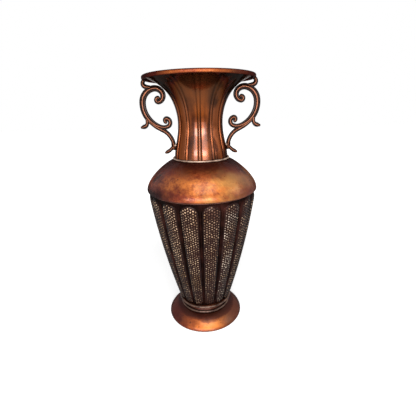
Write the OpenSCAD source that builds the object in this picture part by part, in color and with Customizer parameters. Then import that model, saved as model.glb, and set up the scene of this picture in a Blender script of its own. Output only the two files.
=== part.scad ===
// Urn vase of sheet metal with two scroll handles.
// Millimetres, +Z up, origin at the centre of the face that the foot stands on.
// X runs along the line of the two handles and the front faces -Y.

/* [Overall] */
// Height from the table to the top of the rim
overall_h = 480; // [460:1:520]
// Thickness of the sheet that the shells are made of
sheet = 1.2; // [0.8:0.1:1.6]

/* [Foot] */
// Outer radius of the foot on the table
foot_r = 79; // [74:0.2:86]
// Height at which the foot turns into its collar
foot_h = 22.5; // [20:0.5:24]
// Outer radius of the collar that carries the body
collar_r = 47.6; // [44:0.2:49]
// Width of the flat lip turned in under the foot
foot_lip_w = 7; // [4:0.5:10]

/* [Beads] */
// Radius of the wire of the two base beads
base_wire_r = 2.6; // [2:0.1:2.8]
// Radius of the ring line of the upper base bead
upper_bead_r = 53.2; // [52:0.1:54]
// Radius of the wire of the bead round the neck's base
neck_wire_r = 1.5; // [0.8:0.1:1.6]
// Radius to which the bead round the mouth is rolled
rim_wire_r = 2.4; // [2.2:0.1:2.8]
// Height of the flat part of the rolled bead's outer side
rim_flat = 1.6; // [1:0.1:2]
// Outer radius of the mouth
rim_r = 96.8; // [96:0.1:98.5]

/* [Body] */
// Number of pebbled lobes round the body
lobes = 16; // [12:1:18]
// Part of its pitch that a lobe covers
lobe_w = 0.92; // [0.8:0.01:0.94]
// Height of the body's bottom edge
body_z0 = 44.8; // [44.8:0.1:46]
// Radius of the lobes' crests at the bottom
body_r0 = 54.9; // [54.5:0.1:56]
// Radius of the lobes' crests under the shoulder
body_r1 = 103.5; // [101:0.1:103.7]
// How far the body's outline swells beyond a straight taper
body_swell = 4.8; // [3:0.1:6]
// Height of the lobes' arched tops
lobe_top_z = 280; // [276:0.5:282]
// Depth of the channels at the widest part
channel_d = 5.5; // [3:0.25:7]

/* [Shoulder] */
// Outer radius of the shoulder at its lip
shoulder_r = 104.3; // [104.1:0.1:106]
// Height of the lower edge of the lip
lip_z = 284.5; // [283:0.5:286]
// Height where the dome meets the neck
dome_top_z = 340; // [339:0.5:342]

/* [Neck] */
// Number of raised ribs round the neck
ribs = 12; // [8:1:16]
// Radius of the neck at its base
neck_base_r = 48.9; // [48.4:0.1:49.6]
// Radius of the neck at its waist
waist_r = 39.3; // [38.5:0.1:41]
// Height of the waist
waist_z = 404; // [400:1:408]
// How far a rib stands out of its panels at the base
rib_h = 1.1; // [0.5:0.1:1.6]

/* [Handles] */
// Width of the scroll's bar at its widest
scroll_w = 10.6; // [9:0.2:12]
// Depth of a bar for its width
bar_depth = 0.66; // [0.5:0.02:0.9]
// Width of the stem
stem_w = 7.6; // [6:0.2:8]
// Gap left between brazed pieces
fit_gap = 0.15; // [0.1:0.05:0.2]

/* [Hidden] */
$fn = 96;

copper = [0.62, 0.30, 0.14];
dark_copper = [0.33, 0.17, 0.11];
pewter = [0.42, 0.36, 0.31];
bronze = [0.40, 0.24, 0.17];
braze = [0.68, 0.52, 0.46];

upper_bead_z = body_z0 - sheet - base_wire_r;
lower_bead_z = foot_h + 4.7;
rim_z = overall_h - rim_wire_r - rim_flat / 2;
rim_line_r = rim_r - rim_wire_r;

// Point at t on the cubic curve with the four control points p
function cubic(p, t) =
    pow(1 - t, 3) * p[0] + 3 * pow(1 - t, 2) * t * p[1]
    + 3 * (1 - t) * t * t * p[2] + pow(t, 3) * p[3];
function cubic_points(p, n) = [for (i = [0:n]) cubic(p, i / n)];
function unit(v) = v / norm(v);
function smooth(x) = let (c = min(1, max(0, x))) c * c * (3 - 2 * c);

// Outline parallel to an open outline of points, at distance d on its left side
function mitre(a, b, d) = let (m = a + b) d * m / (m * a);
function left_normal(p, q) = let (u = unit(q - p)) [-u[1], u[0]];
function parallel(pts, d) = let (n = len(pts)) [
    for (i = [0:n - 1])
        let (
            a = left_normal(pts[max(i - 1, 0)], pts[max(i, 1)]),
            b = left_normal(pts[min(i, n - 2)], pts[min(i + 1, n - 1)])
        )
        pts[i] + mitre(a, b, d)
];
function backwards(pts) = [for (i = [len(pts) - 1:-1:0]) pts[i]];

// Shell of revolution, with its thickness on the left side of an outline of [radius, height]
module spun(outline, thickness) {
    rotate_extrude()
        polygon(concat(outline, backwards(parallel(outline, thickness))));
}

module ring(line_r, z, wire_r) {
    translate([0, 0, z])
        rotate_extrude()
            translate([line_r, 0])
                circle(r = wire_r, $fn = 32);
}

// Closed solid of rings of points: each ring is a list of points, joined to the next
// around = true joins the last ring to the first, or else both ends are capped
module skin(rings, around = false) {
    rows = len(rings);
    cols = len(rings[0]);
    points = [for (r = rings) each r];
    last = around ? rows - 1 : rows - 2;
    sides = [
        for (i = [0:last], j = [0:cols - 1])
            let (
                a = i * cols + j,
                b = i * cols + (j + 1) % cols,
                c = ((i + 1) % rows) * cols + (j + 1) % cols,
                d = ((i + 1) % rows) * cols + j
            )
            each [[a, b, c], [a, c, d]]
    ];
    caps = around ? [] : [
        for (j = [1:cols - 2]) [0, j + 1, j],
        for (j = [1:cols - 2])
            let (o = (rows - 1) * cols) [o, o + j, o + j + 1]
    ];
    polyhedron(points = points, faces = concat(sides, caps), convexity = 10);
}

// Foot

module foot() {
    bell = cubic_points(
        [[foot_r, 1.8], [foot_r - 2.1, 8.4], [foot_r - 16.2, foot_h - 4.5], [collar_r + 4, foot_h]],
        14
    );
    outline = concat(
        [[foot_r - foot_lip_w, 0], [foot_r - 1.2, 0]],
        bell,
        [[collar_r + 1.2, foot_h + 0.6], [collar_r, foot_h + 2], [collar_r, body_z0 - sheet]]
    );
    color(copper)
        spun(outline, sheet);
}

module lower_base_bead() {
    color(bronze)
        ring(collar_r + base_wire_r, lower_bead_z, base_wire_r);
}

module upper_base_bead() {
    color(bronze)
        ring(upper_bead_r, upper_bead_z, base_wire_r);
}

// Body

band_z = lip_z - 1;
band_top_z = 298;
lobe_arch = 17;
lobe_foot = 9;
lobe_z0 = body_z0 + 1.2;

function body_crest(z) =
    let (t = (z - body_z0) / (lip_z - body_z0))
    body_r0 + (body_r1 - body_r0) * t + 4 * body_swell * t * (1 - t);
function body_channel(z) =
    body_crest(z) - channel_d * (0.55 + 0.45 * smooth((z - 50) / 150));

// The band above the lobes follows the inside of the dome's lip
function body_band(z) =
    let (t = (z - band_z) / (band_top_z - band_z))
    body_channel(band_z) * (1 - t) + (dome_r_at(band_top_z) - sheet - 0.5) * t;

// Height of a lobe's cross section, from 1 at the crest to 0 at its edge
function lobe_section(d) =
    d >= 1 ? 0 : pow(1 - pow(d, 3.2), 0.75);
function lobe_reach(z) =
    z > lobe_top_z - lobe_arch ? (z - (lobe_top_z - lobe_arch)) / lobe_arch
    : z < lobe_z0 + lobe_foot ? ((lobe_z0 + lobe_foot) - z) / lobe_foot
    : 0;
function body_r(angle, z) =
    z > band_z ? body_band(z)
    : let (
        across = abs(angle * lobes / 360 - floor(angle * lobes / 360) - 0.5) / (lobe_w / 2),
        d = sqrt(across * across + pow(lobe_reach(z), 2))
    )
    body_channel(z) + (body_crest(z) - body_channel(z)) * lobe_section(d);

module body() {
    heights = [
        body_z0, 47, 50, 54, 59, 70, 90, 115, 140, 165, 190, 215, 240, 256,
        263, 268, 272.5, 276, 278.5, 281, band_z, band_top_z
    ];
    // Places across one lobe, in parts of the lobe's pitch
    edge = (1 - lobe_w) / 2;
    places = [0, edge + 0.005, edge + 0.05, 0.25, 0.5, 0.75, 0.95 - edge, 0.995 - edge];
    angles = [for (i = [0:lobes - 1], p = places) (i + p) * 360 / lobes];
    color(pewter)
        skin(
            [
                for (a = angles) concat(
                    [for (z = heights) let (r = body_r(a, z)) [r * sin(a), -r * cos(a), z]],
                    [
                        for (z = backwards(heights))
                            let (r = body_r(a, z) - sheet) [r * sin(a), -r * cos(a), z]
                    ]
                )
            ],
            around = true
        );
}

module body_floor() {
    color(dark_copper)
        translate([0, 0, body_z0 - sheet])
            cylinder(r = body_channel(body_z0) + 0.8, h = sheet);
}

// Shoulder

dome = [
    [neck_base_r, dome_top_z],
    [neck_base_r + 10.3, dome_top_z + 1.2],
    [shoulder_r - 1.5, 307.9],
    [shoulder_r, lip_z + 2]
];
// Radius of the dome's outside at height z, by halving the range of t
function dome_t(z, a = 0, b = 1, n = 24) =
    let (m = (a + b) / 2)
    n == 0 ? m : cubic(dome, m)[1] > z ? dome_t(z, m, b, n - 1) : dome_t(z, a, m, n - 1);
function dome_r_at(z) = cubic(dome, dome_t(z))[0];

module shoulder() {
    lip = [[shoulder_r - 0.5, lip_z], [shoulder_r, lip_z + 0.9]];
    color(copper)
        spun(concat(lip, backwards(cubic_points(dome, 28))), sheet);
}

// Neck

neck_low = [
    [neck_base_r - 0.4, dome_top_z + 1.4],
    [neck_base_r - 0.9, dome_top_z + 21],
    [waist_r, waist_z - 24],
    [waist_r, waist_z]
];
neck_high = [
    [waist_r, waist_z],
    [waist_r, waist_z + 31],
    [55.8, overall_h - 12.5],
    [rim_r - 2 * rim_wire_r - fit_gap / 2, rim_z + 0.6]
];
neck_outline = concat(
    cubic_points(neck_low, 7),
    [for (t = [0.12, 0.24, 0.36, 0.48, 0.6, 0.7, 0.79, 0.87, 0.94, 1]) cubic(neck_high, t)]
);
neck_inside = parallel(neck_outline, sheet);

// Relief of the flutes at a place across one pitch, from 0 to 1 with a rib at 0
function flute(p) =
    let (d = min(p, 1 - p) * 360 / ribs)
    d < 2.2 ? 1 - 0.16 * d : d < 4.4 ? 0.65 - 0.6 * (d - 2.2) : d < 7 ? -0.67 + 0.2 * (d - 4.4) : 0;
// The flutes fade out towards the rim
function flute_fade(z) = rib_h * (1 - smooth((z - 425) / 45));

function neck_point(a, p, rz) =
    let (r = rz[0] + flute(p) * flute_fade(rz[1]))
    [r * sin(a), -r * cos(a), rz[1]];

module neck() {
    places = [0, 0.073, 0.147, 0.235, 0.5, 0.765, 0.853, 0.927];
    color(dark_copper)
        skin(
            [
                for (i = [0:ribs - 1], p = places)
                    let (a = (i + p) * 360 / ribs)
                    concat(
                        [for (q = neck_outline) neck_point(a, p, q)],
                        [for (q = backwards(neck_inside)) neck_point(a, p, q)]
                    )
            ],
            around = true
        );
}

module neck_bead() {
    color(braze)
        ring(neck_base_r + rib_h + neck_wire_r - 0.3, dome_top_z + neck_wire_r + 0.5, neck_wire_r);
}

// The rolled rim is open along a narrow seam underneath. Its outline is two half circles
// with a flat part between them.
function rolled(r) = [
    for (i = [0:36])
        let (a = -118 + i * 346 / 36)
        [rim_line_r + r * cos(a), r * sin(a) + sign(sin(a)) * rim_flat / 2]
];

module rim_bead() {
    wall = 0.9;
    color(copper)
        translate([0, 0, rim_z])
            rotate_extrude()
                polygon(concat(rolled(rim_wire_r), backwards(rolled(rim_wire_r - wall))));
}

// Handles. They lie in the plane y = 0 and are drawn for +X: a place is
// [distance from the axis, height], and a heading is in degrees from +X to +Z.

// Right turn of radius r through angle a when r > 0, left turn when r < 0
function turn_point(p, h, r, a) =
    let (c = p + r * [sin(h), -cos(h)], h2 = h - sign(r) * a)
    c + r * [-sin(h2), cos(h2)];
function turn_heading(h, r, a) = h - sign(r) * a;

// Points [place, heading] along arcs of [radius, angle], one every step degrees or less
function route(p, h, arcs, step = 17, i = 0) =
    i == len(arcs) ? [[p, h]]
    : let (r = arcs[i][0], a = arcs[i][1], n = ceil(a / step))
        concat(
            [for (j = [0:n - 1]) [turn_point(p, h, r, a * j / n), turn_heading(h, r, a * j / n)]],
            route(turn_point(p, h, r, a), turn_heading(h, r, a), arcs, step, i + 1)
        );

function route_lengths(path, i = 0, so_far = 0) =
    i == len(path) ? []
    : let (s = so_far + (i == 0 ? 0 : norm(path[i][0] - path[i - 1][0])))
        concat([s], route_lengths(path, i + 1, s));

// Half of a ridged bar's cross section: places across the width and the depth
bar_section = [
    [1, 0], [0.72, 0.52], [0.3, 0.86], [0, 1], [-0.3, 0.86], [-0.72, 0.52],
    [-1, 0], [-0.72, -0.52], [-0.3, -0.86], [0, -1], [0.3, -0.86], [0.72, -0.52]
];

// Bar along a route; widths is a list of [part of the length, width]
module bar(path, widths, depth = bar_depth, grow = 0) {
    s = route_lengths(path);
    total = s[len(s) - 1];
    skin([
        for (i = [0:len(path) - 1])
            let (
                h = path[i][1],
                w = lookup(s[i] / total, widths) / 2,
                n = [-sin(h), cos(h)],
                deep = min(w * depth, 4.2)
            )
            [
                for (k = bar_section)
                    let (q = path[i][0] + n * k[0] * (w + grow))
                    [q[0], k[1] * (deep + grow), q[1]]
            ]
    ]);
}

scroll_arcs = [
    [3.6, 195], [10.7, 123], [15.2, 53], [24.5, 74], [39.6, 87.5], [15.1, 38.6], [7.3, 133], [3.4, 160]
];
scroll_start = [72.8, 446.7];
scroll_heading = 2;
scroll_widths = [
    [0, 6.2], [0.06, 7.1], [0.14, 9], [0.22, 9.6], [0.32, 9.8], [0.42, scroll_w],
    [0.62, scroll_w], [0.7, 9], [0.77, 6.8], [0.85, 7.2], [0.92, 7.6], [0.96, 7], [1, 6.2]
];

module scroll(grow = 0) {
    bar(route(scroll_start, scroll_heading, scroll_arcs), scroll_widths, grow = grow);
}

stem_end = [51.6, 364.8];

module stem(grow = 0) {
    path = concat(
        route([93.6, 408.3], -137.5, [[95.7, 17.8], [-32.8, 76]], step = 9),
        [[stem_end, -90]]
    );
    bar(path, [[0, 5], [0.2, 7], [0.35, stem_w], [0.75, stem_w - 0.4], [1, 6]], depth = 0.8, grow = grow);
}

module handle_stem() {
    difference() {
        stem();
        scroll(grow = fit_gap);
    }
}

module handle_rim_hook() {
    path = route([95.74, 474.02], -43, [[5.4, 112], [15.2, 31]], step = 12);
    difference() {
        bar(path, [[0, 6.6], [0.4, 7.6], [0.75, 7.2], [1, 6]], depth = 0.9);
        scroll(grow = fit_gap);
        ring(rim_line_r, rim_z - rim_flat / 2, rim_wire_r + fit_gap);
    }
}

module handle_outer_spur() {
    path = route([95.6, 411.6], -91.5, [[400, 0.8], [-7.6, 76], [-60, 8]], step = 12);
    difference() {
        bar(path, [[0, 5.6], [0.4, 6.6], [0.75, 8], [0.92, 7], [1, 3.6]], depth = 0.8);
        scroll(grow = fit_gap);
        stem(grow = fit_gap);
    }
}

module handle_lower_spur() {
    path = route([50.8, 363.2], -60, [[-26, 33], [-60, 6]], step = 9);
    difference() {
        bar(path, [[0, 5.4], [0.3, 6.4], [0.75, 7.2], [0.92, 6.2], [1, 3.4]], depth = 0.8);
        translate([40, -10, stem_end[1] - fit_gap])
            cube([30, 20, 10]);
    }
}

module left() {
    mirror([1, 0, 0])
        children();
}

module left_scroll() { color(bronze) left() scroll(); }
module left_stem() { color(bronze) left() handle_stem(); }
module left_rim_hook() { color(bronze) left() handle_rim_hook(); }
module left_outer_spur() { color(bronze) left() handle_outer_spur(); }
module left_lower_spur() { color(bronze) left() handle_lower_spur(); }
module right_scroll() { color(bronze) scroll(); }
module right_stem() { color(bronze) handle_stem(); }
module right_rim_hook() { color(bronze) handle_rim_hook(); }
module right_outer_spur() { color(bronze) handle_outer_spur(); }
module right_lower_spur() { color(bronze) handle_lower_spur(); }

// Lump of braze between the neck's rib and the foot of the stem
pad_r = 3;
pad_z = stem_end[1] - 0.6;
pad_x0 = waist_r + 3;
pad_x1 = stem_end[0] - 3.3;

module braze_pad() {
    difference() {
        translate([pad_x0, 0, pad_z])
            rotate([0, 90, 0])
                cylinder(r = pad_r, h = pad_x1 - pad_x0, $fn = 24);
        rotate_extrude()
            polygon(concat(
                [[0, neck_low[0][1]]],
                [for (q = neck_outline) if (q[1] < waist_z) q + [rib_h + fit_gap / 2, 0]],
                [[0, waist_z - 2]]
            ));
    }
}

module braze_pads() {
    color(braze) {
        braze_pad();
        left() braze_pad();
    }
}

foot();
lower_base_bead();
upper_base_bead();
body_floor();
body();
shoulder();
neck_bead();
neck();
rim_bead();
left_scroll();
left_stem();
left_rim_hook();
left_outer_spur();
left_lower_spur();
right_scroll();
right_stem();
right_rim_hook();
right_outer_spur();
right_lower_spur();
braze_pads();
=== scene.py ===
# %% [markdown]
# Urn vase, dressed. A tall two-handled vase made of pressed and spun sheet metal:
# a bell foot, a body of sixteen pebbled lobes, a smooth domed shoulder, a fluted neck
# with a flared mouth, and two scroll handles. The CAD part gives every solid its true
# size. This script puts finer surfaces over the same outlines, then the patina, the
# light and the camera. Lengths in the formulas are millimetres, as in the CAD source,
# and each mesh is turned into metres when it is made.

# %% Load the CAD part
import math

import bpy
import numpy as np
from mathutils import Matrix, Vector


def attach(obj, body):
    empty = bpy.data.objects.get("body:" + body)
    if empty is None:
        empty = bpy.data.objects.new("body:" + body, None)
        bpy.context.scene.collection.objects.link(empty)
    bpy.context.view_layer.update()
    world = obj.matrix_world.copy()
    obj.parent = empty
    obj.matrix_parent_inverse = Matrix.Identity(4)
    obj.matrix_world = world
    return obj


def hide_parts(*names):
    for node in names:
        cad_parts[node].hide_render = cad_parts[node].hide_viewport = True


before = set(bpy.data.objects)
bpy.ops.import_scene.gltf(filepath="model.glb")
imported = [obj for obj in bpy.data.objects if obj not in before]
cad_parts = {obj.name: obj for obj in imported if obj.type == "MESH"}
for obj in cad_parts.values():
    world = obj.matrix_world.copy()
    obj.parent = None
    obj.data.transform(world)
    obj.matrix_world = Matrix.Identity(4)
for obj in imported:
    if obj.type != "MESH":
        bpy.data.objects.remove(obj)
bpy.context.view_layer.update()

# %% [markdown]
# Every new piece is a surface worked out on a grid. A grid whose rows and columns both
# run round is a closed shell, like a bent tube, so sheet metal gets its two faces and
# its thickness at once. A grid that is open at its ends gets a cap there. Which way the
# faces point is settled by the volume inside: if it comes out negative, they are turned.

# %% A mesh from a grid of points
MM = 0.001


def fan(ring):
    """Triangles from a ring's first point to each of its other edges."""
    return [[ring[0], a, b] for a, b in zip(ring[1:-1], ring[2:])]


def make_piece(name, grid, rows_close=False, **attributes):
    """Mesh of a grid of points, shape (rows, columns, 3), whose columns run round.

    The face at row i and column j joins points (i, j), (i, j+1), (i+1, j+1), (i+1, j).
    Each attribute is one number per point, with the shape (rows, columns).
    """
    rows, columns = grid.shape[:2]
    index = np.arange(rows * columns).reshape(rows, columns)
    last = rows if rows_close else rows - 1
    here = index[:last]
    above = np.roll(index, -1, axis=0)[:last]
    quads = [here, np.roll(here, -1, axis=1), np.roll(above, -1, axis=1), above]
    faces = np.stack(quads, axis=-1).reshape(-1, 4)
    points = grid.reshape(-1, 3) * MM
    p0, p1, p2, p3 = (points[faces[:, k]] for k in range(4))
    # Six times the volume: each face is two triangles, and each of these with the origin
    # makes a pyramid, whose volume is negative where the triangle looks inwards
    volume = np.einsum("ij,ij->", np.cross(p0, p1), p2) + np.einsum("ij,ij->", np.cross(p0, p2), p3)
    if volume < 0:
        faces = faces[:, ::-1]
    faces = faces.tolist()
    if not rows_close:
        first, end = index[0].tolist(), index[-1].tolist()
        outward = volume > 0
        faces += fan(first[::-1] if outward else first)
        faces += fan(end if outward else end[::-1])
    mesh = bpy.data.meshes.new(name)
    mesh.from_pydata(points.tolist(), [], faces)
    mesh.polygons.foreach_set("use_smooth", np.ones(len(mesh.polygons), bool))
    for key, values in attributes.items():
        layer = mesh.attributes.new(key, "FLOAT", "POINT")
        layer.data.foreach_set("value", np.asarray(values, np.float32).ravel())
    piece = bpy.data.objects.new(name, mesh)
    bpy.context.scene.collection.objects.link(piece)
    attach(piece, "root")
    return piece


print("pieces are made by make_piece")

# %% [markdown]
# Most of the vase was turned on a lathe or spun over a form, so its pieces are outlines
# carried round the axis. The curves are the cubic curves of the CAD source, with more
# points on them. Sheet metal has an inner face too, so the outline is followed up on
# the outside and back down on a line that lies one sheet thickness further in.

# %% Outlines carried round the axis
SHEET = 1.2
HEIGHT = 480.0
TURN_STEPS = 192
WIRE_STEPS = 28


def cubic(points, count):
    """Points on the cubic curve of four control points, at even steps of its parameter."""
    p = np.asarray(points, float)
    t = np.linspace(0, 1, count)[:, None]
    return (1 - t) ** 3 * p[0] + 3 * (1 - t) ** 2 * t * p[1] + 3 * (1 - t) * t**2 * p[2] + t**3 * p[3]


def smooth_step(x):
    """0 below 0, 1 above 1, and 3x^2 - 2x^3 between."""
    x = np.clip(x, 0, 1)
    return x * x * (3 - 2 * x)


def offset(outline, distance):
    """The outline moved to its left by the distance: each point goes along the mean normal."""
    step = np.gradient(outline, axis=0)
    normal = np.stack([-step[:, 1], step[:, 0]], axis=-1)
    return outline + distance * normal / np.linalg.norm(normal, axis=1, keepdims=True)


def around(radius, height, angle):
    """Points [r sin a, -r cos a, z]: angle 0 faces the front and grows towards +X."""
    return np.stack([radius * np.sin(angle), -radius * np.cos(angle), height + 0 * angle], axis=-1)


def turned(name, outline, count=TURN_STEPS):
    """A closed outline of [radius, height] carried round the axis in even steps."""
    angle = np.linspace(0, 2 * np.pi, count, endpoint=False)[None, :]
    loop = np.asarray(outline, float)
    return make_piece(name, around(loop[:, :1] + 0 * angle, loop[:, 1:], angle), rows_close=True)


def sheet_loop(outline, thickness=SHEET):
    """The outline, then the line one sheet thickness to its left, backwards."""
    return np.concatenate([outline, offset(outline, thickness)[::-1]])


def wire_ring(name, line_r, height, wire_r):
    """A wire bent into a ring: a circle of radius wire_r whose centre is at line_r."""
    turn = np.linspace(0, 2 * np.pi, WIRE_STEPS, endpoint=False)
    circle = np.stack([line_r + wire_r * np.cos(turn), height + wire_r * np.sin(turn)], axis=-1)
    return turned(name, circle)


print("a lathe and a ring of wire are ready")

# %% [markdown]
# The foot is a spun bell. It stands on a narrow lip that was turned in under its edge,
# flares up to a collar, and carries two wire beads that hide the joint with the body.

# %% Foot and base beads
FOOT_R = 79.0
FOOT_H = 22.5
FOOT_LIP_W = 7.0
COLLAR_R = 47.6
BODY_Z0 = 44.8
BASE_WIRE_R = 2.6
UPPER_BEAD_R = 53.2
under_lip = [[FOOT_R - FOOT_LIP_W, 0], [FOOT_R - 1.6, 0], [FOOT_R - 0.5, 0.5]]
bell = [[FOOT_R, 1.8], [FOOT_R - 2.1, 8.4], [FOOT_R - 16.2, FOOT_H - 4.5], [COLLAR_R + 4, FOOT_H]]
collar = [[COLLAR_R + 1.2, FOOT_H + 0.6], [COLLAR_R, FOOT_H + 2], [COLLAR_R, BODY_Z0 - SHEET]]
foot_outline = np.concatenate([under_lip, cubic(bell, 60), collar])
foot = turned("foot_bell", sheet_loop(foot_outline))
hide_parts("foot")
lower_bead = wire_ring("base_bead_lower", COLLAR_R + BASE_WIRE_R, FOOT_H + 4.7, BASE_WIRE_R)
upper_bead = wire_ring("base_bead_upper", UPPER_BEAD_R, BODY_Z0 - SHEET - BASE_WIRE_R, BASE_WIRE_R)
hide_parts("lower_base_bead")
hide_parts("upper_base_bead")
print("foot outline points:", len(foot_outline))

# %% [markdown]
# The body is one sheet, pressed into sixteen tall lobes with rounded tops. Between the
# lobes run smooth channels, and the lobes are covered with pebbles 4 to 5 mm across. At
# each height the outline swings between a crest line and a channel line. The
# lobe's cross section is a flattened arch, and near both ends the distance to the end
# is added to the distance across, which rounds the lobe off.

# %% The body's outline
LOBES = 16
LOBE_W = 0.92
LOBE_Z0 = 46.0
LOBE_FOOT = 9.0
LOBE_TOP_Z = 280.0
LOBE_ARCH = 17.0
LIP_Z = 284.5
BODY_R0 = 54.9
BODY_R1 = 103.5
BODY_SWELL = 4.8
CHANNEL_D = 5.5


def crest_r(z):
    """Radius of the lobes' crests: a straight taper plus a swelling 4 k t (1 - t)."""
    t = (z - BODY_Z0) / (LIP_Z - BODY_Z0)
    return BODY_R0 + (BODY_R1 - BODY_R0) * t + 4 * BODY_SWELL * t * (1 - t)


def channel_r(z):
    """Radius of the channels: the crest less a depth that grows with the height."""
    return crest_r(z) - CHANNEL_D * (0.55 + 0.45 * smooth_step((z - 50) / 150))


def lobe_height(across, z):
    """1 on a lobe's crest and 0 in a channel; across is 0 to 1 over one lobe's pitch.

    With d the distance from the lobe's middle in half widths, it is (1 - d^3.2)^0.75.
    """
    top = np.clip((z - (LOBE_TOP_Z - LOBE_ARCH)) / LOBE_ARCH, 0, None)
    bottom = np.clip((LOBE_Z0 + LOBE_FOOT - z) / LOBE_FOOT, 0, None)
    d = np.sqrt((np.abs(across - 0.5) / (LOBE_W / 2)) ** 2 + (top + bottom) ** 2)
    return (1 - np.clip(d, 0, 1) ** 3.2) ** 0.75


print("crest radius at the bottom, middle and top:", crest_r(45), crest_r(160), crest_r(284))

# %% [markdown]
# Above the lobes the sheet goes on as a smooth band, which is hidden inside the lip of
# the shoulder. It follows the inner face of the dome, so the dome's curve is needed
# first: it starts at the hole for the neck and comes down to the lip.

# %% The dome's curve and the hidden band
BAND_Z = LIP_Z - 1
BAND_TOP = 298.0
BAND_GAP = 0.5
NECK_BASE_R = 48.9
DOME_TOP_Z = 340.0
SHOULDER_R = 104.3
dome = [
    [NECK_BASE_R, DOME_TOP_Z],
    [NECK_BASE_R + 10.3, DOME_TOP_Z + 1.2],
    [SHOULDER_R - 1.5, 307.9],
    [SHOULDER_R, LIP_Z + 2],
]
dome_line = cubic(dome, 90)


def band_r(z):
    """Radius of the band: a straight line from the channels to the inside of the dome."""
    inside = np.interp(BAND_TOP, dome_line[::-1, 1], dome_line[::-1, 0]) - SHEET - BAND_GAP
    t = np.clip((z - BAND_Z) / (BAND_TOP - BAND_Z), 0, 1)
    return channel_r(BAND_Z) * (1 - t) + inside * t


print("band radius at its top:", round(float(band_r(BAND_TOP)), 2))

# %% [markdown]
# The pebbles are cells round scattered centres. The centres sit on a grid of staggered
# columns and each is pushed aside by a random amount. For a point on the lobe, the
# difference between its distances to the second nearest and the nearest centre is zero
# on the line between two pebbles and grows towards the middle of one, so it gives both
# the crease and the dome. The nearest centre's random number gives the pebble its tint.

# %% Pebbles
PEBBLE_W = 4.2
PEBBLE_H = 5.0
JITTER = 0.5


def random_at(i, j, seed):
    """A number from 0 to 1 for each cell: the fraction part of a large sine."""
    return np.modf(np.abs(np.sin(i * 127.1 + j * 311.7 + seed * 74.7) * 43758.5453))[0]


def pebbles(s, z, seed):
    """Crease distance and tint of the pebble at s mm across and z mm up."""
    column = np.floor(s / PEBBLE_W)
    nearest = np.full(s.shape, np.inf)
    second = np.full(s.shape, np.inf)
    tint = np.zeros(s.shape)
    for di in (-1, 0, 1):
        i = column + di
        row = np.floor(z / PEBBLE_H - 0.5 * (i % 2))
        for dj in (-1, 0, 1):
            j = row + dj
            x = (i + 0.5 + JITTER * (random_at(i, j, seed) - 0.5)) * PEBBLE_W
            y = (j + 0.5 + 0.5 * (i % 2) + JITTER * (random_at(i, j, seed + 9) - 0.5)) * PEBBLE_H
            distance = np.hypot(s - x, z - y)
            closer = distance < nearest
            second = np.where(closer, nearest, np.minimum(second, distance))
            tint = np.where(closer, random_at(i, j, seed + 3), tint)
            nearest = np.where(closer, distance, nearest)
    return second - nearest, tint


print("pebble cells about", PEBBLE_W, "by", PEBBLE_H, "mm")

# %% [markdown]
# The pebbles need a fine grid, so the body takes most of the vase's faces. The grid is
# spent where it shows: its columns crowd at the edges of a lobe and its rows at the
# rounded ends, and the hidden inner face has only every twentieth row. Each point also
# keeps the numbers that the finish reads later: pebble, tint, share of lobe and fold.

# %% The body's grid
CROWDED = np.array([0.03, 0.045, 0.065, 0.09])
across = np.concatenate([[0.0], CROWDED, np.linspace(0.12, 0.88, 23), 1 - CROWDED[::-1]])
lobe = np.repeat(np.arange(LOBES), len(across))[None, :]
places = np.tile(across, LOBES)[None, :]
body_angle = (lobe + places) * 2 * np.pi / LOBES
EVEN_LOW = 57
EVEN_HIGH = 262
BAND_MIDDLE = 291
low_rows = np.linspace(BODY_Z0, EVEN_LOW, 12)
even_rows = np.linspace(EVEN_LOW, EVEN_HIGH, 148)[1:]
high_rows = np.linspace(EVEN_HIGH, BAND_Z, 24)[1:]
body_z = np.concatenate([low_rows, even_rows, high_rows, [BAND_MIDDLE, BAND_TOP]])[:, None]
print("body grid:", len(body_z), "rows,", places.size, "columns")

# %% [markdown]
# A point's radius is the channel's, raised towards the crest's by the height of the
# lobe. The pebbles are carved into that: the sheet is set back by the relief where it
# is pebbled, and comes out again at the middle of each pebble. A small fold runs round
# over the channels, where the pressed part ends.

# %% Body sheet
RELIEF = 1.0
CREASE_W = 1.1
FOLD_Z = 281.6
FOLD_W = 0.9
FOLD_H = 1.3
# Added to the places across a lobe, so that none is negative
SHIFT = 40
in_band = body_z > BAND_Z
lobe_share = np.where(in_band, 0, lobe_height(places, body_z))
body_r = channel_r(body_z) + (crest_r(body_z) - channel_r(body_z)) * lobe_share
body_r = np.where(in_band, band_r(body_z), body_r)
fold = np.exp(-(((body_z - FOLD_Z) / FOLD_W) ** 2)) * (1 - lobe_share)
body_r = body_r + FOLD_H * fold
from_middle = (places - 0.5) * 2 * np.pi / LOBES * crest_r(body_z)
crease, tint = pebbles(from_middle + SHIFT, body_z + 0 * places, lobe)
pebbled = smooth_step((lobe_share - 0.35) / 0.3)
pebble = (1 - np.exp(-crease / CREASE_W)) * pebbled
outer_r = body_r - RELIEF * pebbled + RELIEF * pebble
inner_rows = slice(None, None, -20)
inner_r = body_r[inner_rows] - SHEET
outer_face = around(outer_r, body_z, body_angle)
inner_face = around(inner_r, body_z[inner_rows], body_angle)
blank = np.zeros(inner_r.shape)
body = make_piece(
    "body_lobes",
    np.concatenate([outer_face, inner_face]),
    rows_close=True,
    pebble=np.concatenate([pebble, blank]),
    lobe_share=np.concatenate([lobe_share, blank]),
    tint=np.concatenate([tint, blank]),
    fold=np.concatenate([fold, blank]),
)
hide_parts("body")
print("body faces:", len(body.data.polygons))

# %% [markdown]
# The shoulder is a spun dome whose lip hangs a little over the body. Spinning and
# handling leave it faintly uneven, so its radius carries a small slow wobble.

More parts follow.
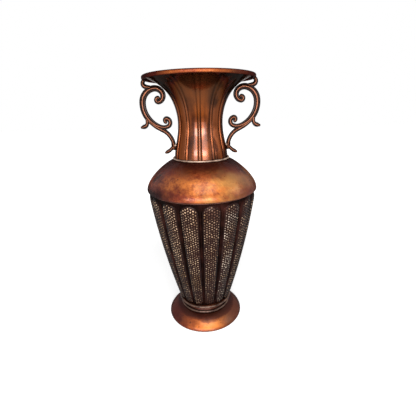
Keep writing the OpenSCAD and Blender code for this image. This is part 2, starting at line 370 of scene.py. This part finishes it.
# %% Shoulder
WOBBLE = 0.25
lip = [[SHOULDER_R - 0.6, LIP_Z], [SHOULDER_R - 0.15, LIP_Z + 0.3], [SHOULDER_R, LIP_Z + 0.9]]
shoulder_loop = sheet_loop(np.concatenate([lip, dome_line[::-1]]))
shoulder_z = shoulder_loop[:, 1:]
shoulder_angle = np.linspace(0, 2 * np.pi, 240, endpoint=False)[None, :]


def unevenness(angle, z, size):
    """Three slow waves round the axis and along it, added up to lie between -size and 0."""
    a = np.sin(5 * angle + z / 9.0) * np.sin(z / 7.0 + 1.3)
    b = np.sin(9 * angle - z / 6.0 + 2.0) * 0.6
    c = np.sin(14 * angle + z / 4.0 + 4.0) * 0.4
    return -size * (a + b + c + 2) / 4


shoulder_r = shoulder_loop[:, :1] + unevenness(shoulder_angle, shoulder_z, WOBBLE)
shoulder_grid = around(shoulder_r, shoulder_z, shoulder_angle)
shoulder = make_piece("shoulder_dome", shoulder_grid, rows_close=True)
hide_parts("shoulder")
print("shoulder faces:", len(shoulder.data.polygons))

# %% [markdown]
# The neck is a flared tube of pressed sheet with twelve narrow raised ribs. A rib has a
# groove along each side, and the panels between the grooves are flatter than the tube.
# All of it fades out towards the mouth, where only faint seams are left. A thin wire
# bead covers the joint between the neck and the shoulder.

# %% The neck's outline and flutes
RIBS = 12
RIB_PITCH = 30
WAIST_R = 39.3
WAIST_Z = 404.0
RIM_R = 96.8
RIM_WIRE = 2.4
RIM_FLAT = 1.6
rim_z = HEIGHT - RIM_WIRE - RIM_FLAT / 2
neck_low = [
    [NECK_BASE_R - 0.4, DOME_TOP_Z + 1.4],
    [NECK_BASE_R - 0.9, DOME_TOP_Z + 21],
    [WAIST_R, WAIST_Z - 24],
    [WAIST_R, WAIST_Z],
]
neck_high = [
    [WAIST_R, WAIST_Z],
    [WAIST_R, WAIST_Z + 31],
    [55.8, HEIGHT - 12.5],
    [RIM_R - 2 * RIM_WIRE - 0.08, rim_z + 0.6],
]
neck_outline = np.concatenate([cubic(neck_low, 40), cubic(neck_high, 60)[1:]])
# Degrees from a rib to the columns, which crowd over the rib and the groove
half_pitch = np.array([0, 0.4, 0.7, 1.0, 1.25, 1.8, 2.4, 3.0, 3.6, 4.2, 4.9, 5.8, 7.2, 9.5, 12.5])
rib_places = np.concatenate([half_pitch, [RIB_PITCH / 2], (RIB_PITCH - half_pitch[1:])[::-1]])


def flute_height(degrees):
    """Relief in mm at an angle from the nearest rib, with d as the angle without its sign.

    The rib is half an ellipse 0.9 high and 2.5 degrees wide, the groove a dip of 0.85 at
    3.7 degrees, and the panel sinks by 0.2 from 7 to 15 degrees.
    """
    d = np.minimum(degrees, RIB_PITCH - degrees)
    rib = 0.9 * np.sqrt(np.clip(1 - (d / 1.25) ** 2, 0, 1))
    groove = -0.85 * np.exp(-(((d - 3.7) / 1.3) ** 2))
    panel = -0.2 * smooth_step((d - 7) / 8)
    return rib + groove + panel


print("neck outline points:", len(neck_outline), "columns in a pitch:", len(rib_places))

# %% [markdown]
# The flutes are added to the radius of the outline, on both faces alike, because the
# sheet was pressed through. A smooth step makes them fade towards the mouth.

# %% Neck and neck bead
FADE_Z = 420
FADE_LENGTH = 48
FADE_SHARE = 0.93
NECK_WIRE_R = 1.5
neck_angle = np.radians((np.arange(RIBS)[:, None] * RIB_PITCH + rib_places).ravel())[None, :]
relief = np.tile(flute_height(rib_places), RIBS)[None, :]
neck_loop = sheet_loop(neck_outline)
neck_z = neck_loop[:, 1:]
fade = 1 - FADE_SHARE * smooth_step((neck_z - FADE_Z) / FADE_LENGTH)
neck_r = neck_loop[:, :1] + relief * fade
neck_grid = around(neck_r, neck_z, neck_angle)
neck = make_piece("neck_fluted", neck_grid, rows_close=True, relief=relief + 0 * neck_r)
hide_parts("neck")
neck_ring = wire_ring("neck_ring", NECK_BASE_R + 2.3, DOME_TOP_Z + 2, NECK_WIRE_R)
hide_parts("neck_bead")
print("neck faces:", len(neck.data.polygons))

# %% [markdown]
# The mouth ends in a rolled bead: the sheet is curled round until it nearly meets
# itself, and a narrow seam stays open underneath. Its outer side is a little flat.

# %% Rim bead
RIM_SHEET = 0.9
SEAM_AT = math.radians(-125)
HALF_SEAM = math.radians(7)
turn = np.linspace(HALF_SEAM, 2 * np.pi - HALF_SEAM, 36) + SEAM_AT
around_wire = np.stack([np.cos(turn), np.sin(turn)], axis=-1)
halves = np.stack([0 * turn, np.sign(np.sin(turn)) * RIM_FLAT / 2], axis=-1)
rim_out = around_wire * RIM_WIRE + halves
rim_in = around_wire * (RIM_WIRE - RIM_SHEET) + halves
rim_loop = np.concatenate([rim_out, rim_in[::-1]]) + [RIM_R - RIM_WIRE, rim_z]
rim = turned("rim_roll", rim_loop, 240)
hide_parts("rim_bead")
print("rim faces:", len(rim.data.polygons))

# %% [markdown]
# The handles are cast bars, each bent along a chain of circular arcs in the plane of
# the two handles. A bar has a ridge along its middle and a groove on each side of the
# ridge, both front and back, and its ends are rounded. The path is a list of arcs, each
# with a radius and an angle: a positive radius turns right, a negative one left.

# %% A bar's cross section
section_turn = np.linspace(0, 2 * np.pi, 36, endpoint=False)


def bar_section():
    """Cross section: s = cos t across, and a depth of an arch plus a ridge, less grooves.

    The ridge lies on s = 0 and the grooves on s = 0.5 and -0.5. The third result is 1
    on the ridge, for the finish.
    """
    s = np.cos(section_turn)
    arch = 0.72 * np.sqrt(np.clip(1 - s**2, 0, 1))
    on_ridge = np.exp(-((s / 0.24) ** 2))
    groove = 0.12 * np.exp(-(((np.abs(s) - 0.5) / 0.14) ** 2))
    depth = np.sign(np.sin(section_turn)) * np.clip(arch + 0.3 * on_ridge - groove, 0, None)
    return s, depth, on_ridge


print("bar sections have", len(section_turn), "points")

# %% [markdown]
# An arc needs only a radius and an angle. Each begins where the last one ended and in
# the same direction, so a bar has no kinks. The section stands square to the path at
# every place, and a few smaller sections at each end make it round.

# %% Bars along chains of arcs
MOST_HALF_DEPTH = 4.2
END_TURNS = np.radians([25, 45, 62, 76, 86])


def arc_chain(start, heading, arcs, step=4.0):
    """Places and headings along arcs; an arc's centre is to the right at its radius."""
    place = np.array(start, float)
    places, headings = [], []
    for radius, angle in arcs:
        count = max(2, math.ceil(angle / step))
        h0 = math.radians(heading)
        centre = place + radius * np.array([math.sin(h0), -math.cos(h0)])
        h = h0 - math.copysign(1, radius) * np.radians(np.arange(count + 1) * angle / count)
        points = centre + radius * np.stack([-np.sin(h), np.cos(h)], axis=-1)
        places.append(points[:-1])
        headings.append(h[:-1])
        place, heading = points[-1], math.degrees(h[-1])
    places.append(place[None])
    headings.append(np.radians([heading]))
    return np.concatenate(places), np.concatenate(headings)


def bar(name, side, path, widths, depth):
    """A section carried along a path of places and headings, with rounded ends.

    The widths are pairs of a part of the length and a width. Each end goes on by a
    quarter circle: further by half a width times sin q, and thinner by cos q.
    """
    places, h = path
    length = np.concatenate([[0], np.cumsum(np.linalg.norm(np.diff(places, axis=0), axis=1))])
    half = np.interp(length / length[-1], *np.array(widths).T) / 2
    q = END_TURNS
    extra = len(q)
    ahead = np.stack([np.cos(h), np.sin(h)], axis=-1)
    end_places = places[-1] + ahead[-1] * (half[-1] * np.sin(q))[:, None]
    start_places = places[0] - ahead[0] * (half[0] * np.sin(q[::-1]))[:, None]
    places = np.concatenate([start_places, places, end_places])
    h = np.concatenate([np.full(extra, h[0]), h, np.full(extra, h[-1])])
    half = np.concatenate([half[0] * np.cos(q[::-1]), half, half[-1] * np.cos(q)])
    s, section_depth, on_ridge = bar_section()
    normal = np.stack([-np.sin(h), np.cos(h)], axis=-1)
    u = places[:, :1] + normal[:, :1] * half[:, None] * s
    z = places[:, 1:] + normal[:, 1:] * half[:, None] * s
    y = np.minimum(half * depth, MOST_HALF_DEPTH)[:, None] * section_depth
    grid = np.stack([side * u, y + 0 * u, z], axis=-1)
    return make_piece(name, grid, ridge=on_ridge[None, :] + 0 * u)


print("bars end in", len(END_TURNS), "thinner sections")

# %% [markdown]
# One handle has five bars: the scroll from its upper to its lower curl, the stem down
# to the neck, the hook up to the rim, and two small leaves called spurs. Each has its
# starting place and heading, its arcs, its widths and its depth as a share of the
# width. The left handle is the mirror image of the right one.

# %% Handles
SCROLL_ARCS = [
    (3.6, 195), (10.7, 123), (15.2, 53), (24.5, 74), (39.6, 87.5), (15.1, 38.6), (7.3, 133), (3.4, 160),
]
SCROLL_WIDTHS = [
    (0, 6.8), (0.06, 7.7), (0.14, 9.8), (0.22, 10.4), (0.32, 10.7), (0.42, 11.6), (0.62, 11.6),
    (0.7, 9.9), (0.77, 7.6), (0.85, 7.9), (0.92, 8.2), (0.96, 7.6), (1, 6.6),
]
STEM_END = [51.6, 367.6]
STEM_END_HEADING = math.radians(-88)
stem_places, stem_headings = arc_chain([93.6, 408.3], -137.5, [(95.7, 17.8), (-32.8, 76)])
stem_path = (np.vstack([stem_places, [STEM_END]]), np.append(stem_headings, STEM_END_HEADING))
scroll_path = arc_chain([72.8, 446.7], 2, SCROLL_ARCS)
hook_path = arc_chain([95.74, 474.02], -43, [(5.4, 112), (15.2, 31)])
outer_path = arc_chain([95.6, 411.6], -91.5, [(400, 0.8), (-7.6, 76), (-60, 5)])
lower_path = arc_chain([50.8, 363.2], -60, [(-26, 33), (-60, 4)])
BARS = {
    "scroll": (scroll_path, SCROLL_WIDTHS, 0.66),
    "stem": (stem_path, [(0, 5), (0.2, 7.6), (0.35, 8.4), (0.75, 8), (1, 6.6)], 0.8),
    "rim_hook": (hook_path, [(0, 6.6), (0.4, 8.2), (0.75, 7.9), (1, 6.4)], 0.9),
    "outer_spur": (outer_path, [(0, 5.6), (0.4, 6.6), (0.75, 8), (0.92, 7.2), (1, 5)], 0.8),
    "lower_spur": (lower_path, [(0, 5.4), (0.3, 6.4), (0.75, 7.2), (0.92, 6.4), (1, 4.6)], 0.8),
}
handle_pieces = []
for side, side_name in ((-1, "left"), (1, "right")):
    for bar_name, (path, widths, depth) in BARS.items():
        piece = bar(f"{side_name}_handle_{bar_name}", side, path, widths, depth)
        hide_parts(f"{side_name}_{bar_name}")
        handle_pieces.append(piece)
print("handle pieces:", len(handle_pieces))

# %% [markdown]
# A finish is worked out from masks: numbers from 0 to 1 that say where the metal is
# rubbed bright, stained or dark, and where light and shade are painted on. So that a mask
# can be written as ordinary arithmetic, one small class wraps a socket and turns each
# operator into a Math node. Colours are blended with Mix nodes, because a Math node would turn them
# grey.

# %% Shader arithmetic


class Value:
    """A socket that can be added, subtracted, multiplied and divided."""

    def __init__(self, finish, socket):
        self.finish = finish
        self.socket = socket

    def math(self, operation, *others):
        """A Math node on this socket and the others."""
        return self.finish.node("ShaderNodeMath", {"operation": operation}, [self, *others])

    def __add__(self, other):
        return self.math("ADD", other)

    __radd__ = __add__

    def __sub__(self, other):
        return self.math("SUBTRACT", other)

    def __rsub__(self, other):
        return self.finish.node("ShaderNodeMath", {"operation": "SUBTRACT"}, [other, self])

    def __mul__(self, other):
        return self.math("MULTIPLY", other)

    __rmul__ = __mul__

    def __truediv__(self, other):
        return self.math("DIVIDE", other)

    def between(self, low, high):
        """0 at low and 1 at high, with a soft start and end, and clamped outside them."""
        settings = {"interpolation_type": "SMOOTHSTEP"}
        return self.finish.node("ShaderNodeMapRange", settings, [self, low, high, 0.0, 1.0])


print("a socket can be used as a number")

# %% [markdown]
# A finish is a material. One method adds any node, and the others are built on it: the
# place on an axis, cloudy noise, a blend of two colours, and a bump. Where a surface
# turns away from the eye, its clear coat is taken back, because a coat that mirrors the
# white room there would put a pale outline round every piece.

# %% Finishes


class Finish:
    """A material whose Principled shader is fed from expressions."""

    def __init__(self, name):
        self.material = bpy.data.materials.new(name)
        self.material.use_nodes = True
        self.tree = self.material.node_tree
        self.shader = self.tree.nodes["Principled BSDF"]
        self.place = self.node("ShaderNodeTexCoord", {}, [], "Object")

    def node(self, kind, settings=None, inputs=(), output=0):
        """Adds a node, sets it, then gives its inputs values or links, and returns an output."""
        made = self.tree.nodes.new(kind)
        for key, value in (settings or {}).items():
            setattr(made, key, value)
        pairs = inputs.items() if isinstance(inputs, dict) else enumerate(inputs)
        for key, value in pairs:
            self.feed(made.inputs[key], value)
        return Value(self, made.outputs[output])

    def feed(self, socket, value):
        """Links a worked-out value to the socket, or writes a plain one on it."""
        if isinstance(value, Value):
            self.tree.links.new(value.socket, socket)
        else:
            socket.default_value = value

    def set(self, **values):
        """Feeds the shader's sockets, whose names are written with underscores."""
        for key, value in values.items():
            self.feed(self.shader.inputs[key.replace("_", " ")], value)

    def attribute(self, name):
        """The number that make_piece stored at each point under this name."""
        return self.node("ShaderNodeAttribute", {"attribute_name": name}, [], "Fac")

    def along(self, axis):
        """The place on one axis in millimetres; on Z it is the height above the table."""
        return self.node("ShaderNodeSeparateXYZ", {}, [self.place], axis) * 1000.0

    def front_or_back(self):
        """1 at the front and the back and 0 over the handles: |y| over the distance to the axis."""
        x, y = self.along("X"), self.along("Y")
        return y.math("ABSOLUTE") / (x * x + y * y).math("SQRT")

    def noise(self, scale, detail=4.0, roughness=0.6, stretch=(1, 1, 1)):
        """Cloudy noise from 0 to 1, drawn out along an axis where its stretch is below 1."""
        at = self.node("ShaderNodeMapping", {}, {"Vector": self.place, "Scale": stretch})
        inputs = {"Vector": at, "Scale": scale, "Detail": detail, "Roughness": roughness}
        return self.node("ShaderNodeTexNoise", {}, inputs, "Fac")

    def turned_away(self):
        """0 where the surface faces the eye, rising to 1 where it turns out of sight."""
        return self.node("ShaderNodeLayerWeight", {}, {"Blend": 0.5}, "Facing").between(0.45, 0.85)

    def blend(self, first, second, share):
        """Colour first where share is 0, second where it is 1."""
        mix = {0: share, 6: first, 7: second}
        return self.node("ShaderNodeMix", {"data_type": "RGBA"}, mix, 2)

    def bump(self, height, depth_mm):
        """Tilts the shading as if the surface rose by depth_mm where height is 1."""
        inputs = {"Strength": 1.0, "Distance": depth_mm * MM, "Height": height}
        self.set(Normal=self.node("ShaderNodeBump", {}, inputs, "Normal"))


def colour(red, green, blue):
    """A colour as a screen shows it, 0 to 255, turned into linear light."""
    c = np.array([red, green, blue]) / 255
    linear = np.where(c <= 0.04045, c / 12.92, ((c + 0.055) / 1.055) ** 2.4)
    return (*[float(v) for v in linear], 1.0)


def wear(piece, finish):
    """Gives the piece the finish."""
    piece.data.materials.clear()
    piece.data.materials.append(finish.material)


print("finishes are made by Finish")

# %% [markdown]
# The metal is lacquered, so each finish has a thin clear coat, apart from the bare
# braze. Foot, shoulder and rim are copper, mottled brown and orange. Large clouds of
# noise carry the mottling, and finer noise breaks their edges. The front and the back
# are painted orange and the parts under the handles browner: painted light from the
# front and painted shade on the sides. Golden patches lie mostly on the right, where
# their lean to the right is painted light from that side.

# %% Copper with painted light at the front
EDGE_DARK = (0.12, 0.07, 0.05, 1.0)
COAT = {"Coat_Roughness": 0.2, "Specular_Tint": EDGE_DARK, "Specular_IOR_Level": 0.15}
copper = Finish("mottled_copper")
clouds = copper.noise(14.0, 5.0, 0.62)
patches = copper.noise(36.0, 5.0, 0.65)
specks = copper.noise(130.0, 4.0, 0.7)
to_right = copper.along("X") / 100.0
# Golden patches from noise, leaning to the right as painted light from that side.
gold_and_right_light = (copper.noise(13.0, 4.0, 0.6) + to_right * 0.22).between(0.5, 0.64)
facing = copper.front_or_back() + (clouds - 0.5) * 0.3 + (patches - 0.5) * 0.2
mottle = (clouds * 0.4 + patches * 0.45 + specks * 0.35).between(0.48, 0.72)
# Painted shade on the sides and painted light on the front and back, as if lit from the front.
shaded_side_tone = copper.blend(colour(72, 33, 28), colour(144, 80, 56), mottle)
shaded_side_tone = copper.blend(shaded_side_tone, colour(158, 112, 76), gold_and_right_light * 0.6)
lit_front_tone = copper.blend(colour(112, 46, 19), colour(192, 110, 48), mottle)
lit_front_tone = copper.blend(lit_front_tone, colour(184, 130, 66), gold_and_right_light * 0.8)
warm = copper.blend(shaded_side_tone, lit_front_tone, facing.between(0.5, 1.0))
level = copper.along("Z")
on_foot = 1 - level.between(30.0, 40.0)
# Painted highlight: the front of the foot is painted a brighter orange.
warm = copper.blend(warm, colour(190, 104, 46), on_foot * facing.between(0.7, 0.95) * 0.65)
print("copper nodes so far:", len(copper.tree.nodes))

# %% [markdown]
# Painted shade darkens the copper where it turns from the front light: over the top of
# the shoulder under the neck, over the shoulder's lip at the sides and most on the left,
# round the foot's collar, side and bottom edge, and over the rim. Each place is a mask of
# its own, and the largest of them counts. The heights are made cloudy, so no edge of the
# painted shade is a clean line.

# %% Where the copper gets painted shade
cloudy_level = level + (clouds - 0.5) * 20.0 + (patches - 0.5) * 22.0
above_shoulder = level.between(400.0, 410.0)
foot_side_shade = on_foot * (1 - facing.between(0.7, 1.0)) * 0.8
foot_top_shade = (level * 0.6 + cloudy_level * 0.4).between(13.0, 18.5) * on_foot
foot_edge_shade = (1 - level.between(1.0, 8.0)) * 0.7
by_lip = (1 - cloudy_level.between(288.0, 306.0)) * level.between(200.0, 210.0)
left_or_side = (1 - facing.between(0.7, 0.98) * 0.75) * (1 - to_right.between(0.0, 0.8) * 0.5)
lip_shade = by_lip * left_or_side
shoulder_top_shade = cloudy_level.between(314.0, 337.0) * (1 - above_shoulder)
# The rim gets painted shade, lifted from the middle of its band at the front as a painted highlight.
rim_highlight_band = level.between(474.0, 475.6) * (1 - level.between(477.4, 479.0))
rim_shade = above_shoulder * (1 - rim_highlight_band * facing.between(0.75, 1.0) * 0.65)
# The painted shade is the largest of these masks.
painted_shade = foot_side_shade
for place in (foot_top_shade, foot_edge_shade, lip_shade, shoulder_top_shade, rim_shade):
    painted_shade = painted_shade.math("MAXIMUM", place)
print("copper nodes so far:", len(copper.tree.nodes))

# %% [markdown]
# The painted shade has a reddish border and a brown middle. The foot is darkest at its
# root, a painted shadow under the beads, and on the left the lip of the shoulder is
# darkened nearly black. A few small pits and spots stay dark everywhere.

# %% Copper colours put together
copper_colour = copper.blend(warm, colour(120, 38, 22), painted_shade.between(0.0, 0.6) * (1 - painted_shade) * 0.9)
copper_colour = copper.blend(copper_colour, colour(68, 28, 25), painted_shade * 0.92)
# Painted shadow at the foot's root, under the beads.
foot_root_shadow = level.between(15.0, 21.0) * on_foot
copper_colour = copper.blend(copper_colour, colour(34, 14, 9), foot_root_shadow * 0.6)
# On the left the shoulder's lip is darkened nearly black.
dark_left_lip = lip_shade * (1 - facing.between(0.72, 0.95)) * (1 - to_right.between(-0.6, 0.2))
copper_colour = copper.blend(copper_colour, colour(34, 17, 20), dark_left_lip * 0.75)
pit_places = {"Vector": copper.place, "Scale": 55.0}
pits = 1 - copper.node("ShaderNodeTexVoronoi", {}, pit_places, "Distance").between(0.05, 0.11)
spots = specks.between(0.58, 0.72)
copper_colour = copper.blend(copper_colour, colour(52, 24, 18), pits.math("MAXIMUM", spots) * 0.7)
coat = 0.4 - painted_shade * 0.25 - level.between(460.0, 470.0) * 0.2
copper.set(
    Base_Color=copper_colour,
    Metallic=0.9,
    Roughness=0.3 + specks * 0.15 + patches * 0.15,
    Coat_Weight=coat * (1 - copper.turned_away()),
    **COAT,
)
copper.bump(patches * 2 + specks * 0.8 - pits * 0.5, 0.8)
for piece in (foot, shoulder, rim):
    wear(piece, copper)
print("copper finish on 3 pieces")

# %% [markdown]
# The neck is stained darker, and its front is a warmer orange than its sides. Low down,
# where it also shines most, it is brighter and its ribs lighter, partly rubbed wear and
# partly painted light. Streaks run up it, so the noise is drawn out along Z. The grooves
# are painted nearly black as painted shade and take hardly any coat, and the flare is a
# dull brown. The body's floor, deep inside, has the same finish.

# %% Dark neck finish
dark = Finish("dark_copper")
streaks = dark.noise(48.0, 4.0, 0.6, (1, 1, 0.06))
blotches = dark.noise(45.0, 4.0, 0.65)
neck_relief = dark.attribute("relief")
on_rib = neck_relief.between(0.5, 1.0)
recess = 1 - neck_relief.between(-0.45, -0.08)
lit_lower_neck = 1 - dark.along("Z").between(400.0, 455.0)
waist_down = 1 - dark.along("Z").between(385.0, 420.0)
neck_facing = dark.front_or_back().between(0.88, 0.99)
side_streaks = (streaks * 0.85 + blotches * 0.3).between(0.5, 0.64)
front_streaks = (streaks * 0.9 + blotches * 0.2).between(0.44, 0.64)
side_brown = dark.blend(colour(48, 23, 16), colour(118, 64, 37), side_streaks)
front_brown = dark.blend(colour(70, 28, 6), colour(122, 56, 8), front_streaks)
flare_brown = dark.blend(colour(62, 41, 28), colour(98, 60, 38), neck_facing)
neck_colour = dark.blend(side_brown, front_brown, neck_facing)
neck_colour = dark.blend(flare_brown, neck_colour, 0.25 + lit_lower_neck * 0.75)
# Painted highlight on the ribs, strongest low down, partly also rubbed wear.
neck_colour = dark.blend(neck_colour, colour(132, 82, 48), on_rib * (0.05 + lit_lower_neck * 0.35))
# Painted shade in the grooves, strongest low down.
neck_colour = dark.blend(neck_colour, colour(22, 12, 9), recess * (0.35 + lit_lower_neck * 0.45))
dark.set(
    Base_Color=neck_colour,
    Metallic=0.85,
    Roughness=0.13 + blotches * 0.1,
    Specular_Tint=EDGE_DARK,
    Specular_IOR_Level=0.0,
    Coat_Roughness=0.08,
    Coat_Weight=0.04 + waist_down * neck_facing * (1 - recess) * 0.9,
)
dark.bump(blotches, 0.1)
wear(neck, dark)
wear(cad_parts["body_floor"], dark)
print("neck finish made")

# %% [markdown]
# The pebbles are pale on their tops, partly rubbed wear and partly a painted highlight,
# over recesses that stayed nearly black, and some have kept a rusty or ochre tint. They
# are palest between the front and the right handle, a painted highlight of the light on
# that side, a little rusty just right of the front, and darker low down, a painted shade.
# The smooth channels are dark red-brown, with a painted highlight along the fold.

# %% Pebbled pewter finish
pewter = Finish("pebbled_pewter")
top = pewter.attribute("pebble")
grime = pewter.noise(24.0, 3.0, 0.6)
rust = colour(84, 40, 24)
# Painted shade: the lobes darken towards the bottom.
low_shade = 1 - pewter.along("Z").between(55.0, 190.0)
# Some pebbles are duller at random, and more so low down as painted shade.
dull = (pewter.attribute("tint") * 0.8 + low_shade * 0.2).between(0.3, 1.0)
to_handle = pewter.front_or_back()
half_way = to_handle.between(0.66, 0.74) * (1 - to_handle.between(0.9, 0.96))
# Painted highlight: pebbles between the front and the right handle are painted palest, as lit from the
# right.
right_glint = half_way * pewter.along("X").between(0.0, 20.0)
rusty = pewter.along("X").between(0.0, 12.0) * (1 - pewter.along("X").between(25.0, 45.0))
ochre = pewter.noise(17.0, 2.0, 0.5).between(0.5, 0.62)
pale = pewter.blend(colour(224, 188, 152), colour(255, 232, 208), right_glint)
pale = pewter.blend(pale, colour(88, 48, 30), dull)
pale = pewter.blend(pale, colour(150, 112, 62), ochre * 0.7)
pale = pewter.blend(pale, rust, grime.between(0.48, 0.62) * 0.8)
pale = pewter.blend(pale, rust, rusty * 0.4)
# Painted shade low down on the pebbles.
pale = pewter.blend(pale, colour(50, 37, 24), low_shade * 0.45)
# Pale pebble tops, partly rubbed wear and partly a painted highlight, over dark patina in the recesses.
lobe_colour = pewter.blend(colour(34, 11, 5), pale, top.between(0.78, 0.99))
channel = pewter.blend(colour(22, 11, 9), colour(54, 28, 23), grime.between(0.4, 0.75))
# Painted highlight along the fold over the channels, under the shoulder's lip.
channel = pewter.blend(channel, colour(120, 80, 70), pewter.attribute("fold").between(0.5, 1.0))
pewter.set(
    Base_Color=pewter.blend(channel, lobe_colour, pewter.attribute("lobe_share").between(0.4, 0.75)),
    Metallic=0.8,
    Roughness=0.48 - top * 0.14,
    Coat_Weight=top * 0.35 * (1 - pewter.turned_away()),
    **COAT,
)
wear(body, pewter)
print("pewter finish made")

# %% [markdown]
# The bars of the handles are dark bronze, lighter and copper-coloured along the ridge:
# partly rubbed wear and partly a painted highlight. The two base beads are a greyer bronze.
# The neck bead and the two pads are bare braze, a pale filler metal that was left rough.

# %% Bronze and braze finishes
bronze = Finish("antique_bronze")
ridge = bronze.attribute("ridge")
rub = bronze.noise(60.0, 4.0, 0.65)
# The ridge is painted lighter: partly rubbed wear, partly a painted highlight.
ridge_wear_and_highlight = (ridge * 0.6 + rub * 0.6).between(0.4, 1.0)
bar_colour = bronze.blend(colour(30, 17, 13), colour(142, 86, 60), ridge_wear_and_highlight)
bronze.set(Base_Color=bar_colour, Metallic=0.85, Roughness=0.34 + rub * 0.15, **COAT)
bronze.set(Coat_Weight=0.2 * (1 - bronze.turned_away()))
bronze.bump(rub, 0.15)
for piece in handle_pieces:
    wear(piece, bronze)
bead_bronze = Finish("bead_bronze")
bead_rub = bead_bronze.noise(70.0, 4.0, 0.7).between(0.3, 0.7)
bead_colour = bead_bronze.blend(colour(46, 30, 25), colour(110, 84, 71), bead_rub)
bead_bronze.set(Base_Color=bead_colour, Metallic=0.85, Roughness=0.32, Coat_Weight=0.3, **COAT)
for piece in (lower_bead, upper_bead):
    wear(piece, bead_bronze)
braze = Finish("worn_braze")
worn = braze.noise(90.0, 4.0, 0.7).between(0.35, 0.7)
braze_colour = braze.blend(colour(124, 98, 84), colour(188, 162, 142), worn)
braze.set(Base_Color=braze_colour, Metallic=0.7, Roughness=0.5)
for piece in (neck_ring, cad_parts["braze_pads"]):
    wear(piece, braze)
print("bronze on", len(handle_pieces) + 2, "pieces")

# %% [markdown]
# The vase stands on a plain white floor. The world is white where the camera or a
# reflection looks at it, and dimmer for the light that it sends, so the background is
# white without more light on the metal. The floor does the same further out, and near
# the vase it mostly shows the light that falls on it, which keeps the shadow.

# %% Floor and world
FLOOR_HALF = 6.0
SKY_LIGHT = 0.3
FLOOR_GLOW = 0.48
corners = [(-1, -1), (1, -1), (1, 1), (-1, 1)]
floor_mesh = bpy.data.meshes.new("floor")
floor_mesh.from_pydata([(x * FLOOR_HALF, y * FLOOR_HALF, 0) for x, y in corners], [], [(0, 1, 2, 3)])
floor = bpy.data.objects.new("floor", floor_mesh)
bpy.context.scene.collection.objects.link(floor)


def seen_directly(finish):
    """1 for rays from the camera, a reflection or through glass, and 0 for other rays."""
    kinds = ("Is Camera Ray", "Is Glossy Ray", "Is Transmission Ray")
    camera_ray, glossy_ray, glass_ray = (finish.node("ShaderNodeLightPath", {}, [], k) for k in kinds)
    return camera_ray.math("MAXIMUM", glossy_ray).math("MAXIMUM", glass_ray)


class Sky(Finish):
    """A world, fed in the same way as a finish."""

    def __init__(self, name):
        self.world = bpy.data.worlds.new(name)
        self.world.use_nodes = True
        self.tree = self.world.node_tree
        self.shader = self.tree.nodes["Background"]


white = Finish("floor_white")
away = white.node("ShaderNodeVectorMath", {"operation": "LENGTH"}, [white.place], "Value")
own_light = (FLOOR_GLOW + away.between(0.25, 1.1) * (1 - FLOOR_GLOW)) * seen_directly(white)
glow = white.blend((0, 0, 0, 1), (1, 1, 1, 1), own_light)
white.set(Base_Color=(0.85, 0.85, 0.85, 1), Roughness=0.9, Specular_IOR_Level=0.0)
white.set(Emission_Color=glow, Emission_Strength=1.0)
floor_mesh.materials.append(white.material)
sky = Sky("studio")
sky.set(Color=(1, 1, 1, 1), Strength=SKY_LIGHT + (1 - SKY_LIGHT) * seen_directly(sky))
bpy.context.scene.world = sky.world
print("floor and world made")

# %% [markdown]
# The light in the photograph comes from the front. The neck shows narrow upright
# streaks, the shoulder and the foot shine where they lean towards the viewer, and the
# top of the shoulder is dark. So a bright strip with a narrow brighter core stands in
# front of the vase, before a wide soft panel, and a panel above them looks down. A
# smaller one, high on the right, gives the pale glints on the shoulder's right side and
# on the pebbles of the right-hand lobes.

# %% Lights
# Place and aim in metres, then width, height and brightness
SOFTBOXES = {
    "strip": ((-0.03, -1.25, 0.56), (0, 0, 0.36), 1.5, 0.55, 3.4),
    "core": ((-0.03, -1.2, 0.59), (0, 0, 0.38), 1.35, 0.18, 8.2),
    "panel": ((0.0, -1.35, 0.5), (0, 0, 0.3), 1.5, 1.0, 0.6),
    "upper": ((0.15, -0.75, 1.45), (0, 0, 0.2), 0.9, 0.7, 4.5),
    "glint": ((1.1, -0.2, 0.75), (0, 0, 0.2), 0.5, 0.6, 2.0),
}


def softbox(name, place, aim, width, tall, brightness):
    """A panel that faces its aim. Its power is brightness x area x pi."""
    light = bpy.data.lights.new(name, "AREA")
    light.shape = "RECTANGLE"
    light.size = width
    light.size_y = tall
    light.energy = brightness * width * tall * math.pi
    lamp = bpy.data.objects.new(name, light)
    lamp.location = place
    from_aim = lamp.location - Vector(aim)
    lamp.rotation_euler = from_aim.to_track_quat("Z", "Y").to_euler()
    bpy.context.scene.collection.objects.link(lamp)


for name, settings in SOFTBOXES.items():
    softbox(name, *settings)
print("lights:", len(SOFTBOXES))

# %% [markdown]
# The camera was found from the outline of the vase in the photograph: its distance, its
# height and its tilt were fitted until the rim, the shoulder and the foot all agreed. The
# lobes and ribs then showed that it stands a little over one degree to the right.

# %% Camera
PHOTO_W_PX = 416
FOCAL_PX = 272.93
SENSOR_MM = 36.0
PITCH = 0.34634
ROLL = 0.0222
AZIMUTH = math.radians(1.4)
EYE = (0.01064, -0.5147, 0.4255)
camera_data = bpy.data.cameras.new("camera")
camera_data.sensor_width = SENSOR_MM
camera_data.lens = SENSOR_MM * FOCAL_PX / PHOTO_W_PX
camera = bpy.data.objects.new("camera", camera_data)
right = np.array([1.0, 0.0, 0.0])
up = np.array([0.0, math.sin(PITCH), math.cos(PITCH)])
back = np.array([0.0, -math.cos(PITCH), math.sin(PITCH)])
axis_x = math.cos(ROLL) * right - math.sin(ROLL) * up
axis_y = math.sin(ROLL) * right + math.cos(ROLL) * up
matrix = np.eye(4)
matrix[:3, :3] = np.stack([axis_x, axis_y, back], axis=-1)
matrix[:3, 3] = EYE
camera.matrix_world = Matrix.Rotation(AZIMUTH, 4, "Z") @ Matrix(matrix.tolist())
bpy.context.scene.collection.objects.link(camera)
bpy.context.scene.camera = camera
bpy.context.scene.view_settings.view_transform = "Standard"
print("lens in mm:", round(camera_data.lens, 2))
